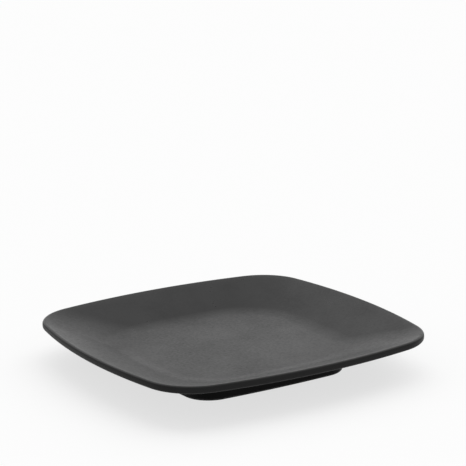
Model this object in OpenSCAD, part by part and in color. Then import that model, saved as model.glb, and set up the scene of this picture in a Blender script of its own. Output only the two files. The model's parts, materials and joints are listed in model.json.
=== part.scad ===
// Square dinner plate in glazed stoneware: a soft square dish on a foot ring.
// One clay body carries three stretches of glaze. Two of them meet on the rolled upper edge of the rim,
// and all of them stop short of the standing face, which is left bare.
// The standing face is on z = 0, the middle of the foot on the origin and the sides along X and Y.

/* [Rim] */
// Width across the sides at the rim, over the glaze
plate_w = 260; // [235:1:290]
// Height from the standing face to the top of the rim
plate_h = 33; // [32:0.5:38]
// Radius of the long curve of each side at the rim
rim_side_r = 475; // [350:5:800]
// Radius of the corners at the rim
rim_corner_r = 43; // [34:1:52]
// Height of the band round the edge
rim_t = 5.9; // [5.3:0.1:7]
// Radius rolled on the upper edge of the band
lip_r = 2.2; // [1.5:0.1:2.8]
// Radius rolled on the lower edge of the band
under_lip_r = 2.2; // [1:0.1:2.4]

/* [Well] */
// Width of the floor, out to where the line of the wall would meet it
floor_w = 160; // [150:1:175]
// Radius of the long curve of each side of the floor
floor_side_r = 900; // [600:10:1400]
// Radius of the corners of the floor
floor_corner_r = 46; // [36:1:54]
// Depth of the floor below the top of the rim
well_depth = 16.5; // [14:0.5:17.5]
// Radius of the sweep from the floor into the wall
well_sweep_r = 48; // [30:1:75]
// Thickness of the floor over the glaze
floor_t = 5.5; // [4.5:0.1:6.5]

/* [Foot] */
// Width of the foot ring across the sides at the glaze line
foot_w = 145; // [135:1:150]
// Radius of the long curve of each side of the foot ring
foot_side_r = 890; // [600:10:1400]
// Radius of the outer corners of the foot ring
foot_corner_r = 24; // [20:1:32]
// Height at which the underside would meet the outside of the foot ring
foot_h = 9; // [8:0.1:10]
// Width of the foot ring at the glaze line
foot_ring_w = 8; // [6:0.1:10]
// Taper of each side of the foot ring from its root to the glaze line
foot_taper = 0.8; // [0:0.1:1.2]
// Radius of the sweep from the underside into the foot ring
foot_sweep_r = 4; // [2:0.1:5]
// Radius of the sweep from the foot ring into the ceiling of the recess
recess_sweep_r = 4; // [2:0.1:5]
// Radius on the two edges of the standing face
foot_edge_r = 1.2; // [0.6:0.1:1.4]

/* [Glaze] */
// Thickness of the glaze
glaze_t = 0.5; // [0.3:0.1:0.7]
// Height of bare clay between the standing face and the glaze line
dry_foot_h = 1.8; // [1.6:0.1:2.6]
// Place on the rolled upper edge where the face glaze ends, as an angle above the band
break_angle = 45; // [20:1:70]

/* [Fineness] */
// Steps along each side
side_steps = 8; // [4:1:10]
// Steps round each corner
corner_steps = 8; // [4:1:10]
// Steps up each sweep
sweep_steps = 5; // [3:1:6]
// Steps round each small edge
edge_steps = 3; // [2:1:4]

/* [Hidden] */
face_color = [0.34, 0.34, 0.34];
under_color = [0.11, 0.11, 0.11];
clay_color = [0.24, 0.23, 0.22];

rim_half = plate_w / 2;
floor_half = floor_w / 2;
foot_half = foot_w / 2;
foot_root_half = foot_half + foot_taper;
recess_half = foot_half - foot_ring_w;
recess_root_half = recess_half - foot_taper;
floor_z = plate_h - well_depth;
ceiling_z = floor_z - floor_t;

// Centres of the two rolled edges of the band
lip_w = rim_half - lip_r;
lip_z = plate_h - lip_r;
under_lip_w = rim_half - under_lip_r;
under_lip_z = plate_h - rim_t + under_lip_r;

// Slopes of the straight wall above and below, tangent to the rolled edges
wall_run = [lip_w - floor_half, lip_z - floor_z];
wall_slope = atan2(wall_run[1], wall_run[0]) + asin(lip_r / norm(wall_run));
under_run = [under_lip_w - foot_root_half, under_lip_z - foot_h];
under_slope = atan2(under_run[1], under_run[0]) - asin(under_lip_r / norm(under_run));

// A station is one point of the section, on a bend about [w, z]: [w, z, radius, sense, angle, on the face].
// Going into the clay, a hollow bend (sense 1) gets wider and a rounded one (sense -1) tighter.
function bend(w, z, r, sense, from, to, steps, face) =
    [for (i = [0:steps]) [w, z, r, sense, from + (to - from) * i / steps, face]];

function place(s, depth) =
    let (r = s[2] + s[3] * depth)
    [s[0] + r * cos(s[4]), s[1] + r * sin(s[4])];

function mix(a, b, share) = a + (b - a) * share;

// Side and corner radius of the outline that passes through half-width w
function radii(w, face) =
    face
        ? let (share = (w - floor_half) / (rim_half - floor_half))
          [mix(floor_side_r, rim_side_r, share), mix(floor_corner_r, rim_corner_r, share)]
    : w > foot_root_half
        ? let (share = (w - foot_root_half) / (rim_half - foot_root_half))
          [mix(foot_side_r, rim_side_r, share), mix(foot_corner_r, rim_corner_r, share)]
    : [foot_side_r - (foot_root_half - w), foot_corner_r - (foot_root_half - w)];

// Soft square of half-width w: four long side arcs joined by four corner arcs
function outline(w, side_r, corner_r) =
    let (
        back = w - side_r,
        centre = (back + sqrt(2 * pow(side_r - corner_r, 2) - back * back)) / 2,
        join = atan2(centre, centre - back),
        quarter = concat(
            [for (i = [0:side_steps - 1])
                let (a = join * (2 * i / side_steps - 1))
                [back + side_r * cos(a), side_r * sin(a)]],
            [for (i = [0:corner_steps - 1])
                let (a = mix(join, 90 - join, i / corner_steps))
                [centre + corner_r * cos(a), centre + corner_r * sin(a)]]
        )
    )
    [for (turn = [0:90:270], p = quarter)
        [p[0] * cos(turn) - p[1] * sin(turn), p[0] * sin(turn) + p[1] * cos(turn)]];

function ring(s, depth) =
    let (
        top = place(s, 0),
        p = place(s, depth),
        r = radii(top[0], s[5]),
        inset = top[0] - p[0]
    )
    [for (q = outline(p[0], r[0] - inset, r[1] - inset)) [q[0], q[1], p[1]]];

function rings(stations, depth) = [for (s = stations) ring(s, depth)];

function reversed(list) = [for (i = [len(list) - 1:-1:0]) list[i]];

// The section in three stretches, one for each stretch of glaze
face_stations = concat(
    bend(floor_half - well_sweep_r * tan(wall_slope / 2), floor_z + well_sweep_r, well_sweep_r, 1,
        -90, -90 + wall_slope, sweep_steps, true),
    bend(lip_w, lip_z, lip_r, -1, 90 + wall_slope, break_angle, edge_steps, true)
);
edge_stations = concat(
    bend(lip_w, lip_z, lip_r, -1, break_angle / 2, 0, 1, false),
    bend(under_lip_w, under_lip_z, under_lip_r, -1, 0, -90 + under_slope, edge_steps, false),
    bend(foot_root_half + foot_sweep_r, foot_h - foot_sweep_r * tan(45 - under_slope / 2), foot_sweep_r, 1,
        90 + under_slope, 180, sweep_steps, false),
    [[foot_half - foot_edge_r, dry_foot_h, foot_edge_r, -1, 0, false]]
);
recess_stations = concat(
    [[recess_half + foot_edge_r, dry_foot_h, foot_edge_r, -1, 180, false]],
    bend(recess_root_half - recess_sweep_r, ceiling_z - recess_sweep_r, recess_sweep_r, 1,
        0, 90, sweep_steps, false)
);
// The bare foot below the glaze lines
dry_stations = concat(
    bend(foot_half - glaze_t - foot_edge_r, foot_edge_r, foot_edge_r, -1, 0, -90, edge_steps, false),
    bend(recess_half + glaze_t + foot_edge_r, foot_edge_r, foot_edge_r, -1, -90, -180, edge_steps, false)
);
// The edge glaze starts on the ring where the face glaze ends
under_stations = concat([face_stations[len(face_stations) - 1]], edge_stations);

// How far down and out a point lies
function reach(p) = norm([p[0], p[1]]) - p[2];

// Skin through a list of rings: capped at both ends, or joined up from the last ring to the first.
// Each quad is cut from its nearer ring to its further one, so skins that share two rings lie face to face.
module loft(loops, joined = false) {
    n = len(loops[0]);
    m = len(loops);
    points = [for (loop = loops) each loop];
    spans = joined ? m : m - 1;
    sides = [for (k = [0:spans - 1], j = [0:n - 1])
        let (
            a = k * n + j,
            b = k * n + (j + 1) % n,
            c = (k + 1) % m * n + (j + 1) % n,
            d = (k + 1) % m * n + j
        )
        each reach(points[a]) < reach(points[d]) ? [[a, b, c], [a, c, d]] : [[a, b, d], [b, c, d]]];
    caps = joined ? [] : [[for (j = [n - 1:-1:0]) j], [for (j = [0:n - 1]) (m - 1) * n + j]];
    polyhedron(points = points, faces = concat(sides, caps), convexity = 6);
}

// Fired clay with floor, wall, rim and foot ring in one piece
module clay_body() {
    color(clay_color)
        loft(concat(
            rings(face_stations, glaze_t),
            rings(edge_stations, glaze_t),
            rings(dry_stations, 0),
            rings(recess_stations, glaze_t)
        ));
}

// Coat on the floor, the wall and over to the middle of the rolled upper edge
module face_glaze() {
    color(face_color)
        loft(concat(
            rings(face_stations, 0),
            rings(reversed(face_stations), glaze_t)
        ));
}

// Coat on the band, the underside and the outside of the foot ring
module underside_glaze() {
    color(under_color)
        loft(concat(
            rings(under_stations, 0),
            rings(reversed(under_stations), glaze_t)
        ), joined = true);
}

// Coat inside the foot ring
module recess_glaze() {
    color(under_color)
        loft(concat(
            rings(reversed(recess_stations), glaze_t),
            rings(recess_stations, 0)
        ));
}

clay_body();
face_glaze();
underside_glaze();
recess_glaze();
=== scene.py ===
import bpy
import bmesh
import json
import math
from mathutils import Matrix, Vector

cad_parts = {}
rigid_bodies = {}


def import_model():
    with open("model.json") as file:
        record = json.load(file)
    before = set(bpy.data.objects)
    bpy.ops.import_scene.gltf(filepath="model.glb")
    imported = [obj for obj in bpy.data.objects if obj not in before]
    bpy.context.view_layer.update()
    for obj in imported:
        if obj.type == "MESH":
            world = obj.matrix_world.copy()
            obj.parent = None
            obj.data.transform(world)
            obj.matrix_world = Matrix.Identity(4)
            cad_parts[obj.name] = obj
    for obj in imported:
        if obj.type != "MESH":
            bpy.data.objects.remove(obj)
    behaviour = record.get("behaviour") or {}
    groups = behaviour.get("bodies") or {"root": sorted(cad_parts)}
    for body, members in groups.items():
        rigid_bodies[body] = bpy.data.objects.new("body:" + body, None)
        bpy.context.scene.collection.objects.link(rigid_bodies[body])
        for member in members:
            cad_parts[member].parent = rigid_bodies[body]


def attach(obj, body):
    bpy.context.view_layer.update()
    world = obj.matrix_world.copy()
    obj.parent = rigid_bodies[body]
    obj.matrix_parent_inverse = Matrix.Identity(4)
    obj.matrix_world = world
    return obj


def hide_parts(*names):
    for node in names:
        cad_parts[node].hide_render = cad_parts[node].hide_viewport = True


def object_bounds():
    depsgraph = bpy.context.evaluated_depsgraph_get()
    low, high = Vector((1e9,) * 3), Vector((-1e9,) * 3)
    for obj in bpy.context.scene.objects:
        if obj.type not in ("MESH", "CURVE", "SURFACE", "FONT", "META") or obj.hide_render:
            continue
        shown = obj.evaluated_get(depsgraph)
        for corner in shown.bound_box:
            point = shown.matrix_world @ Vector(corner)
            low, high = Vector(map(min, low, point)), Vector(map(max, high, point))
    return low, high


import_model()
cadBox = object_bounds()
mm = 0.001
quarter = math.pi / 2

# the dish in mm: its width and height come from the frame, the rest is as the part is built
# the lip drop is room for the roll, which comes out a little higher at the corners
rim = {"half": cadBox[1][0] / mm, "top": cadBox[1][2] / mm, "sideR": 475, "cornerR": 43,
       "band": 5.9, "lipR": 2.2, "underR": 2.2, "lipDrop": 0.2}
well = {"half": 80, "sideR": 900, "cornerR": 46, "depth": 16.5, "sweepR": 48, "thick": 5.5}
foot = {"half": 72.5, "sideR": 890, "cornerR": 24, "height": 9, "ring": 8, "taper": 0.8, "sweepR": 4,
        "edgeR": 1.2}
coat = {"thick": 0.5, "dryFoot": 1.8, "breakAngle": 45}

# fineness: lengths in mm, angles in degrees, and the number of sides past which a face is one of the flats
mesh = {"sideSteps": 28, "cornerSteps": 24, "longEdge": 20, "flatInset": 5, "flatSides": 8, "merge": 0.1,
        "level": 0.005, "leastTurn": 6, "smoothAngle": 35}

rootHalf = foot["half"] + foot["taper"]
recessHalf = foot["half"] - foot["ring"]
floorZ = rim["top"] - well["depth"]
ceilingZ = floorZ - well["thick"]


def tangentSlope(innerHalf, innerZ, lipR, lipZ, sense):
    # slope of the straight line from an inner corner of the section that touches a rolled edge
    run = rim["half"] - lipR - innerHalf
    rise = lipZ - innerZ
    return math.atan2(rise, run) + sense * math.asin(lipR / math.hypot(run, rise))


lipZ = rim["top"] - rim["lipR"]
underLipZ = rim["top"] - rim["band"] + rim["underR"]
wallSlope = tangentSlope(well["half"], floorZ, rim["lipR"], lipZ, 1)
underSlope = tangentSlope(rootHalf, foot["height"], rim["underR"], underLipZ, -1)


def newRing(half, z, sideR, cornerR, roll, turn):
    # a sharp corner of the section, with the radius of the roll that goes on it and the turn it makes
    return {"half": half, "z": z, "sideR": sideR, "cornerR": cornerR, "roll": roll, "turn": turn}


def sectionRings(k):
    # the corners of the section k mm under the finish
    edge = rim["half"] - k
    wallRise = math.sin(wallSlope) * (edge - well["half"]) - k
    underRise = math.sin(underSlope) * (edge - rootHalf) + k
    upperZ = floorZ + wallRise / math.cos(wallSlope) - rim["lipDrop"]
    lowerZ = foot["height"] + underRise / math.cos(underSlope)
    rootZ = foot["height"] + k * (1 - math.sin(underSlope)) / math.cos(underSlope)

    def rimRing(z, roll, turn):
        return newRing(edge, z, rim["sideR"] - k, rim["cornerR"] - k, roll - k, turn)

    def footRing(half, z, roll, turn):
        grown = half - rootHalf
        return newRing(half, z, foot["sideR"] + grown, foot["cornerR"] + grown, roll, turn)

    return {
        "floor": newRing(well["half"] + k * math.tan(wallSlope / 2), floorZ - k, well["sideR"],
                         well["cornerR"], well["sweepR"] + k, wallSlope),
        "upper": rimRing(upperZ, rim["lipR"], quarter + wallSlope),
        "lower": rimRing(lowerZ, rim["underR"], quarter - underSlope),
        "root": footRing(rootHalf - k, rootZ, foot["sweepR"] + k, quarter - underSlope),
        "line": footRing(foot["half"] - k, coat["dryFoot"], 0, 0),
        "heel": footRing(foot["half"] - k, 0, foot["edgeR"], quarter),
        "innerHeel": footRing(recessHalf + k, 0, foot["edgeR"], quarter),
        "innerLine": footRing(recessHalf + k, coat["dryFoot"], 0, 0),
        "ceiling": footRing(recessHalf - foot["taper"] + k, ceilingZ + k, foot["sweepR"] + k, quarter),
    }


def deselectAll():
    if bpy.context.object and bpy.context.object.mode != "OBJECT":
        bpy.ops.object.mode_set(mode="OBJECT")
    bpy.ops.object.select_all(action="DESELECT")


def pickInEdit(piece, kind, test):
    # selects the edges or faces that pass the test
    bpy.ops.mesh.select_mode(type=kind)
    bpy.ops.mesh.select_all(action="DESELECT")
    edit = bmesh.from_edit_mesh(piece.data)
    for item in {"EDGE": edit.edges, "FACE": edit.faces}[kind]:
        item.select = test(item)
    edit.select_flush_mode()
    bmesh.update_edit_mesh(piece.data)


def drawRing(ring):
    # a soft square spun from one point: long side arc, corner arc, four times round
    z = ring["z"] * mm
    sideR = ring["sideR"] * mm
    cornerR = ring["cornerR"] * mm
    back = ring["half"] * mm - sideR
    middle = (back + math.sqrt(2 * (sideR - cornerR) ** 2 - back * back)) / 2
    join = math.atan2(middle, middle - back)
    start = (back + sideR * math.cos(join), -sideR * math.sin(join), z)
    bpy.ops.mesh.primitive_plane_add(size=mm, location=start)
    bpy.ops.mesh.merge(type="CENTER")
    # the spin goes to the left where its angle is negative
    arcs = ((mesh["sideSteps"], -2 * join), (mesh["cornerSteps"], 2 * join - quarter))
    for x, y in ((1, 0), (0, 1), (-1, 0), (0, -1)):
        middles = ((back * x, back * y, z), (middle * (x - y), middle * (x + y), z))
        for (steps, turn), centre in zip(arcs, middles):
            bpy.ops.mesh.spin(steps=steps, angle=turn, center=centre, axis=(0, 0, 1))
    bpy.ops.mesh.select_linked()
    bpy.ops.mesh.remove_doubles(threshold=mesh["merge"] * mm)


def selectRing(piece, index):
    piece.vertex_groups.active_index = index
    bpy.ops.object.vertex_group_select()


def isCorner(edge, z):
    # a sharp edge along the rings at one height, and not a seam across the flat of the foot
    level = all(abs(vert.co.z - z * mm) < mesh["level"] * mm for vert in edge.verts)
    return level and edge.calc_face_angle(0) > math.radians(mesh["leastTurn"])


def rollCorners(piece, rings, counts):
    # rings at the same height are rolled together
    levels = {}
    for ring, count in zip(rings, counts):
        if count:
            levels[ring["z"]] = (ring["roll"] * math.tan(ring["turn"] / 2) * mm, count)
    for z, (reach, count) in sorted(levels.items()):
        pickInEdit(piece, "EDGE", lambda edge: isCorner(edge, z))
        bpy.ops.mesh.bevel(offset=reach, segments=count, affect="EDGES")


def loftPiece(name, section, form):
    # sharp rings bridged one to the next, then every corner is rolled over with a bevel
    rings = [section[ring] for ring in form["rings"]]
    deselectAll()
    bpy.ops.mesh.primitive_plane_add(size=mm)
    piece = bpy.context.object
    piece.name = piece.data.name = name
    bpy.ops.object.mode_set(mode="EDIT")
    bpy.ops.mesh.select_mode(type="VERT")
    bpy.ops.mesh.delete(type="VERT")
    for i, ring in enumerate(rings):
        drawRing(ring)
        bpy.ops.object.vertex_group_assign_new()
        if i:
            selectRing(piece, i - 1)
            bpy.ops.mesh.bridge_edge_loops()
    for ring in form["capped"]:
        bpy.ops.mesh.select_all(action="DESELECT")
        selectRing(piece, form["rings"].index(ring))
        bpy.ops.mesh.edge_face_add()
    rollCorners(piece, rings, form["rolls"])
    # an inset keeps the shading of the flats level, and the long slopes get more cuts
    pickInEdit(piece, "FACE", lambda face: len(face.verts) > mesh["flatSides"])
    bpy.ops.mesh.inset(thickness=mesh["flatInset"] * mm, depth=0)
    pickInEdit(piece, "EDGE", lambda edge: edge.calc_length() > mesh["longEdge"] * mm)
    bpy.ops.mesh.subdivide_edgering(number_cuts=form["cuts"], interpolation="LINEAR", smoothness=0)
    bpy.ops.mesh.select_mode(type="FACE")
    bpy.ops.mesh.select_all(action="SELECT")
    bpy.ops.mesh.normals_make_consistent(inside=False)
    # an open sheet can come out facing the clay: its flat shows which way it lies, 1 up and -1 down
    flat = max(bmesh.from_edit_mesh(piece.data).faces, key=lambda face: len(face.verts))
    if flat.normal.z * form["sheetFaces"] < 0:
        bpy.ops.mesh.flip_normals()
    bpy.ops.object.mode_set(mode="OBJECT")
    bpy.ops.object.vertex_group_remove(all=True)
    bpy.ops.object.shade_smooth_by_angle(angle=math.radians(mesh["smoothAngle"]))
    print(name, "lofted,", len(piece.data.polygons), "faces")
    return piece


def coatPiece(piece, name):
    # the sheet becomes a closed coat that goes down to the clay
    deselectAll()
    bpy.context.view_layer.objects.active = piece
    piece.select_set(True)
    piece.name = piece.data.name = name
    wall = piece.modifiers.new("coat", "SOLIDIFY")
    wall.thickness = coat["thick"] * mm
    wall.offset = -1
    wall.use_even_offset = True
    bpy.ops.object.modifier_apply(modifier="coat")
    bpy.ops.object.shade_smooth_by_angle(angle=math.radians(mesh["smoothAngle"]))
    return piece


def placePiece(piece, node):
    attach(piece, "root")
    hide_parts(node)
    print(piece.name, "placed for", node)


# face coat and underside coat: one skin from the floor to the glaze line, parted on the rolled edge
skinForm = {"rings": ("floor", "upper", "lower", "root", "line"), "rolls": (18, 14, 10, 10, 0),
            "capped": ("floor",), "cuts": 8, "sheetFaces": 1}
skin = loftPiece("skin", sectionRings(0), skinForm)
bpy.ops.object.mode_set(mode="EDIT")
partAt = math.sin(math.radians(coat["breakAngle"]))
pickInEdit(skin, "FACE", lambda face: face.normal.z > partAt)
bpy.ops.mesh.separate(type="SELECTED")
bpy.ops.object.mode_set(mode="OBJECT")
faceSheet = [sheet for sheet in bpy.context.selected_objects if sheet is not skin][0]
faceCoat = coatPiece(faceSheet, "face_coat")
placePiece(faceCoat, "face_glaze")
undersideCoat = coatPiece(skin, "underside_coat")
placePiece(undersideCoat, "underside_glaze")

# recess coat: the inner wall of the foot ring and the ceiling
recessForm = {"rings": ("innerLine", "ceiling"), "rolls": (0, 10), "capped": ("ceiling",), "cuts": 2,
              "sheetFaces": -1}
recessCoat = coatPiece(loftPiece("recess", sectionRings(0), recessForm), "recess_coat")
placePiece(recessCoat, "recess_glaze")

# fired clay: the whole section, one coat under the finish, closed and so in no need of a facing
clayForm = {"rings": ("floor", "upper", "lower", "root", "line", "heel", "innerHeel", "innerLine",
                      "ceiling"),
            "rolls": (18, 8, 8, 10, 0, 8, 8, 0, 10), "capped": ("floor", "ceiling"), "cuts": 8,
            "sheetFaces": 0}
firedClay = loftPiece("fired_clay", sectionRings(coat["thick"]), clayForm)
placePiece(firedClay, "clay_body")


def addNode(tree, kind, inputs=None, **settings):
    node = tree.nodes.new("ShaderNode" + kind)
    for key, value in settings.items():
        setattr(node, key, value)
    for key, value in (inputs or {}).items():
        if isinstance(value, bpy.types.NodeSocket):
            tree.links.new(value, node.inputs[key])
        else:
            node.inputs[key].default_value = value
    return node


def newGroup(name, inputs, outputs):
    group = bpy.data.node_groups.new(name, "ShaderNodeTree")
    for label, kind in inputs.items():
        group.interface.new_socket(label, in_out="INPUT", socket_type="NodeSocket" + kind)
    for label, kind in outputs.items():
        group.interface.new_socket(label, in_out="OUTPUT", socket_type="NodeSocket" + kind)
    return group, group.nodes.new("NodeGroupInput").outputs, group.nodes.new("NodeGroupOutput").inputs


def grey(value):
    return value, value, value, 1


# slow clouding of the tone, as a glaze takes to the clay unevenly
cloudForm = {"detail": 5, "roughness": 0.6, "low": 0.3, "high": 0.7}
clouding, given, made = newGroup(
    "clouding", {"Vector": "Vector", "Size": "Float", "Deep": "Color", "Pale": "Color"},
    {"Color": "Color", "Mask": "Float"})
clouds = addNode(clouding, "TexNoise",
                 {"Vector": given["Vector"], "Scale": given["Size"], "Detail": cloudForm["detail"],
                  "Roughness": cloudForm["roughness"]})
spread = addNode(clouding, "MapRange",
                 {"Value": clouds.outputs["Fac"], "From Min": cloudForm["low"],
                  "From Max": cloudForm["high"]})
tone = addNode(clouding, "Mix",
               {"Factor": spread.outputs["Result"], "A": given["Deep"], "B": given["Pale"]},
               data_type="RGBA")
clouding.links.new(tone.outputs["Result"], made["Color"])
clouding.links.new(spread.outputs["Result"], made["Mask"])

# fine tooth with pin holes
grainForm = {"detail": 3}
grain, given, made = newGroup(
    "grain", {"Vector": "Vector", "Size": "Float", "Hole": "Float"},
    {"Height": "Float", "Tooth": "Float", "Holes": "Float"})
tooth = addNode(grain, "TexNoise",
                {"Vector": given["Vector"], "Scale": given["Size"], "Detail": grainForm["detail"]})
cells = addNode(grain, "TexVoronoi", {"Vector": given["Vector"], "Scale": given["Size"]})
holes = addNode(grain, "MapRange",
                {"Value": cells.outputs["Distance"], "From Min": given["Hole"], "From Max": 0},
                interpolation_type="SMOOTHSTEP")
height = addNode(grain, "Math", {0: tooth.outputs["Fac"], 1: holes.outputs["Result"]},
                 operation="SUBTRACT")
grain.links.new(height.outputs["Value"], made["Height"])
grain.links.new(tooth.outputs["Fac"], made["Tooth"])
grain.links.new(holes.outputs["Result"], made["Holes"])

# a mask that rises with height towards the lip, for a paler tone there: painted light, a painted highlight
# along the lip of the face and the lit rim band over the painted shade of the underside
paintedLipLight, given, made = newGroup(
    "paintedLipLight", {"Vector": "Vector", "Start": "Float", "End": "Float"}, {"Mask": "Float"})
place = addNode(paintedLipLight, "SeparateXYZ", {"Vector": given["Vector"]})
lipLight = addNode(paintedLipLight, "MapRange",
               {"Value": place.outputs["Z"], "From Min": given["Start"], "From Max": given["End"]},
               interpolation_type="SMOOTHSTEP")
paintedLipLight.links.new(lipLight.outputs["Result"], made["Mask"])
print("surface effects ready")


def fireMaterial(name, look):
    # one recipe for every fired surface: clouded tone, pin holes, uneven sheen and a fine tooth
    material = bpy.data.materials.new(name)
    material.use_nodes = True
    tree = material.node_tree
    shader = tree.nodes["Principled BSDF"]
    shader.inputs["Specular IOR Level"].default_value = look["specular"]
    spot = addNode(tree, "TexCoord").outputs["Object"]
    cloud = addNode(tree, "Group",
                    {"Vector": spot, "Size": look["cloudSize"], "Deep": grey(look["deep"]),
                     "Pale": grey(look["pale"])},
                    node_tree=clouding)
    sand = addNode(tree, "Group",
                   {"Vector": spot, "Size": look["grainSize"], "Hole": look["hole"]},
                   node_tree=grain)
    color = addNode(tree, "Mix",
                    {"Factor": sand.outputs["Holes"], "A": cloud.outputs["Color"],
                     "B": grey(look["holeTone"])},
                    data_type="RGBA")
    sheen = addNode(tree, "MapRange",
                    {"Value": cloud.outputs["Mask"], "To Min": look["dull"], "To Max": look["smooth"]})
    sheen = addNode(tree, "Math",
                    {0: sand.outputs["Tooth"], 1: look["tooth"], 2: sheen.outputs["Result"]},
                    operation="MULTIPLY_ADD")
    # paler towards the lip: painted light, not a change in the glaze
    if "paintedLipTone" in look:
        lip = addNode(tree, "Group",
                      {"Vector": spot, "Start": look["lipStart"] * mm, "End": look["lipEnd"] * mm},
                      node_tree=paintedLipLight)
        color = addNode(tree, "Mix",
                        {"Factor": lip.outputs["Mask"], "A": color.outputs["Result"],
                         "B": grey(look["paintedLipTone"])},
                        data_type="RGBA")
        sheen = addNode(tree, "Math",
                        {0: lip.outputs["Mask"], 1: look["lipSheen"], 2: sheen.outputs["Value"]},
                        operation="MULTIPLY_ADD")
    bump = addNode(tree, "Bump",
                   {"Height": sand.outputs["Height"], "Strength": look["bump"],
                    "Distance": look["depth"] * mm})
    tree.links.new(color.outputs["Result"], shader.inputs["Base Color"])
    tree.links.new(sheen.outputs["Value"], shader.inputs["Roughness"])
    tree.links.new(bump.outputs["Normal"], shader.inputs["Normal"])
    return material


# finishes: clouds and grain in repeats per metre, depth and the start and end of the lip in mm
# the face pales over its top 3 mm at the lip: a painted highlight along the lip edge
faceLook = {"deep": 0.014, "pale": 0.02, "cloudSize": 30, "dull": 0.245, "smooth": 0.165,
            "grainSize": 420, "tooth": 0.3, "hole": 0.1, "holeTone": 0.01, "bump": 0.3, "depth": 0.03,
            "specular": 0.2, "lipStart": 30, "lipEnd": 33, "paintedLipTone": 0.02, "lipSheen": 0}
faceCoat.data.materials.append(fireMaterial("satin_black_face", faceLook))

# the underside and recess take a darker copy of the face glaze: painted shade under the rim and on the
# foot; from 22 to 28 mm up, the rim band goes back to about the face's tone
undersidePaintedShadeLook = {"deep": 0.005, "pale": 0.008, "cloudSize": 30, "dull": 0.4, "smooth": 0.36,
                 "grainSize": 420, "tooth": 0.1, "hole": 0.1, "holeTone": 0.004, "bump": 0.3, "depth": 0.03,
                 "specular": 0.06, "lipStart": 22, "lipEnd": 28, "paintedLipTone": 0.018, "lipSheen": -0.02}
undersidePaintedShade = fireMaterial("black_underside_painted_shade", undersidePaintedShadeLook)
undersideCoat.data.materials.append(undersidePaintedShade)
recessCoat.data.materials.append(undersidePaintedShade)

clayLook = {"deep": 0.05, "pale": 0.07, "cloudSize": 90, "dull": 0.85, "smooth": 0.75,
            "grainSize": 1400, "tooth": 0.1, "hole": 0.25, "holeTone": 0.03, "bump": 0.6, "depth": 0.12,
            "specular": 0.3}
firedClay.data.materials.append(fireMaterial("bare_stoneware", clayLook))
print("finishes on")


def whiteRays(tree):
    # 1 for the rays that meet the white background: from the camera, off gloss or through glass
    rays = addNode(tree, "LightPath").outputs
    seen = addNode(tree, "Math", {0: rays["Is Camera Ray"], 1: rays["Is Glossy Ray"]},
                   operation="MAXIMUM")
    seen = addNode(tree, "Math", {0: seen.outputs["Value"], 1: rays["Is Transmission Ray"]},
                   operation="MAXIMUM")
    return seen.outputs["Value"]


# white surround, with a weaker fill on the object itself
surround = {"fill": 0.5, "white": 1}
world = bpy.data.worlds.new("studio")
bpy.context.scene.world = world
world.use_nodes = True
world.cycles.sampling_method = "NONE"  # an even surround needs no map of where its light is
tree = world.node_tree
fill = tree.nodes["Background"]
fill.inputs["Color"].default_value = grey(1)
fill.inputs["Strength"].default_value = surround["fill"]
white = addNode(tree, "Background", {"Color": grey(1), "Strength": surround["white"]})
both = addNode(tree, "MixShader", {0: whiteRays(tree), 1: fill.outputs[0], 2: white.outputs[0]})
tree.links.new(both.outputs[0], tree.nodes["World Output"].inputs["Surface"])

# one broad soft light from behind and above
keyLook = {"energy": 1.9, "angle": 80, "rise": 58, "azimuth": 40}
key = bpy.data.lights.new("key", "SUN")
key.energy = keyLook["energy"]
key.angle = math.radians(keyLook["angle"])
keyObject = bpy.data.objects.new("key", key)
bpy.context.collection.objects.link(keyObject)
keyObject.visible_glossy = False  # the gloss mirrors the white surround alone
keyTilt = quarter - math.radians(keyLook["rise"])
keyObject.rotation_euler = (keyTilt, 0, quarter + math.radians(keyLook["azimuth"]))

# pale floor that keeps the shadow
floorLook = {"size": 14, "tone": 0.92, "white": 0.7}
deselectAll()
bpy.ops.mesh.primitive_plane_add(size=floorLook["size"])
floor = bpy.context.object
floor.name = floor.data.name = "pale_floor"
paper = bpy.data.materials.new("pale_paper")
paper.use_nodes = True
tree = paper.node_tree
tree.nodes.remove(tree.nodes["Principled BSDF"])
matt = addNode(tree, "BsdfDiffuse", {"Color": grey(floorLook["tone"])})
glow = addNode(tree, "Emission", {"Color": grey(1), "Strength": surround["white"]})
share = addNode(tree, "Math", {0: whiteRays(tree), 1: floorLook["white"]}, operation="MULTIPLY")
lit = addNode(tree, "MixShader", {0: share.outputs["Value"], 1: matt.outputs[0], 2: glow.outputs[0]})
tree.links.new(lit.outputs[0], tree.nodes["Material Output"].inputs["Surface"])
floor.data.materials.append(paper)

# camera fitted to the outline of the rim and the foot
cameraLook = {"place": (-0.72701, -1.20599, 0.45824), "turn": (76.0558, 1.1942, -31.5461), "lens": 141.97,
              "sensor": 36}
camera = bpy.data.cameras.new("table_camera")
camera.lens = cameraLook["lens"]
camera.sensor_width = cameraLook["sensor"]
cameraObject = bpy.data.objects.new("table_camera", camera)
bpy.context.collection.objects.link(cameraObject)
cameraObject.location = cameraLook["place"]
cameraObject.rotation_euler = [math.radians(angle) for angle in cameraLook["turn"]]
bpy.context.scene.camera = cameraObject
bpy.context.scene.view_settings.view_transform = "Standard"
print("studio set")
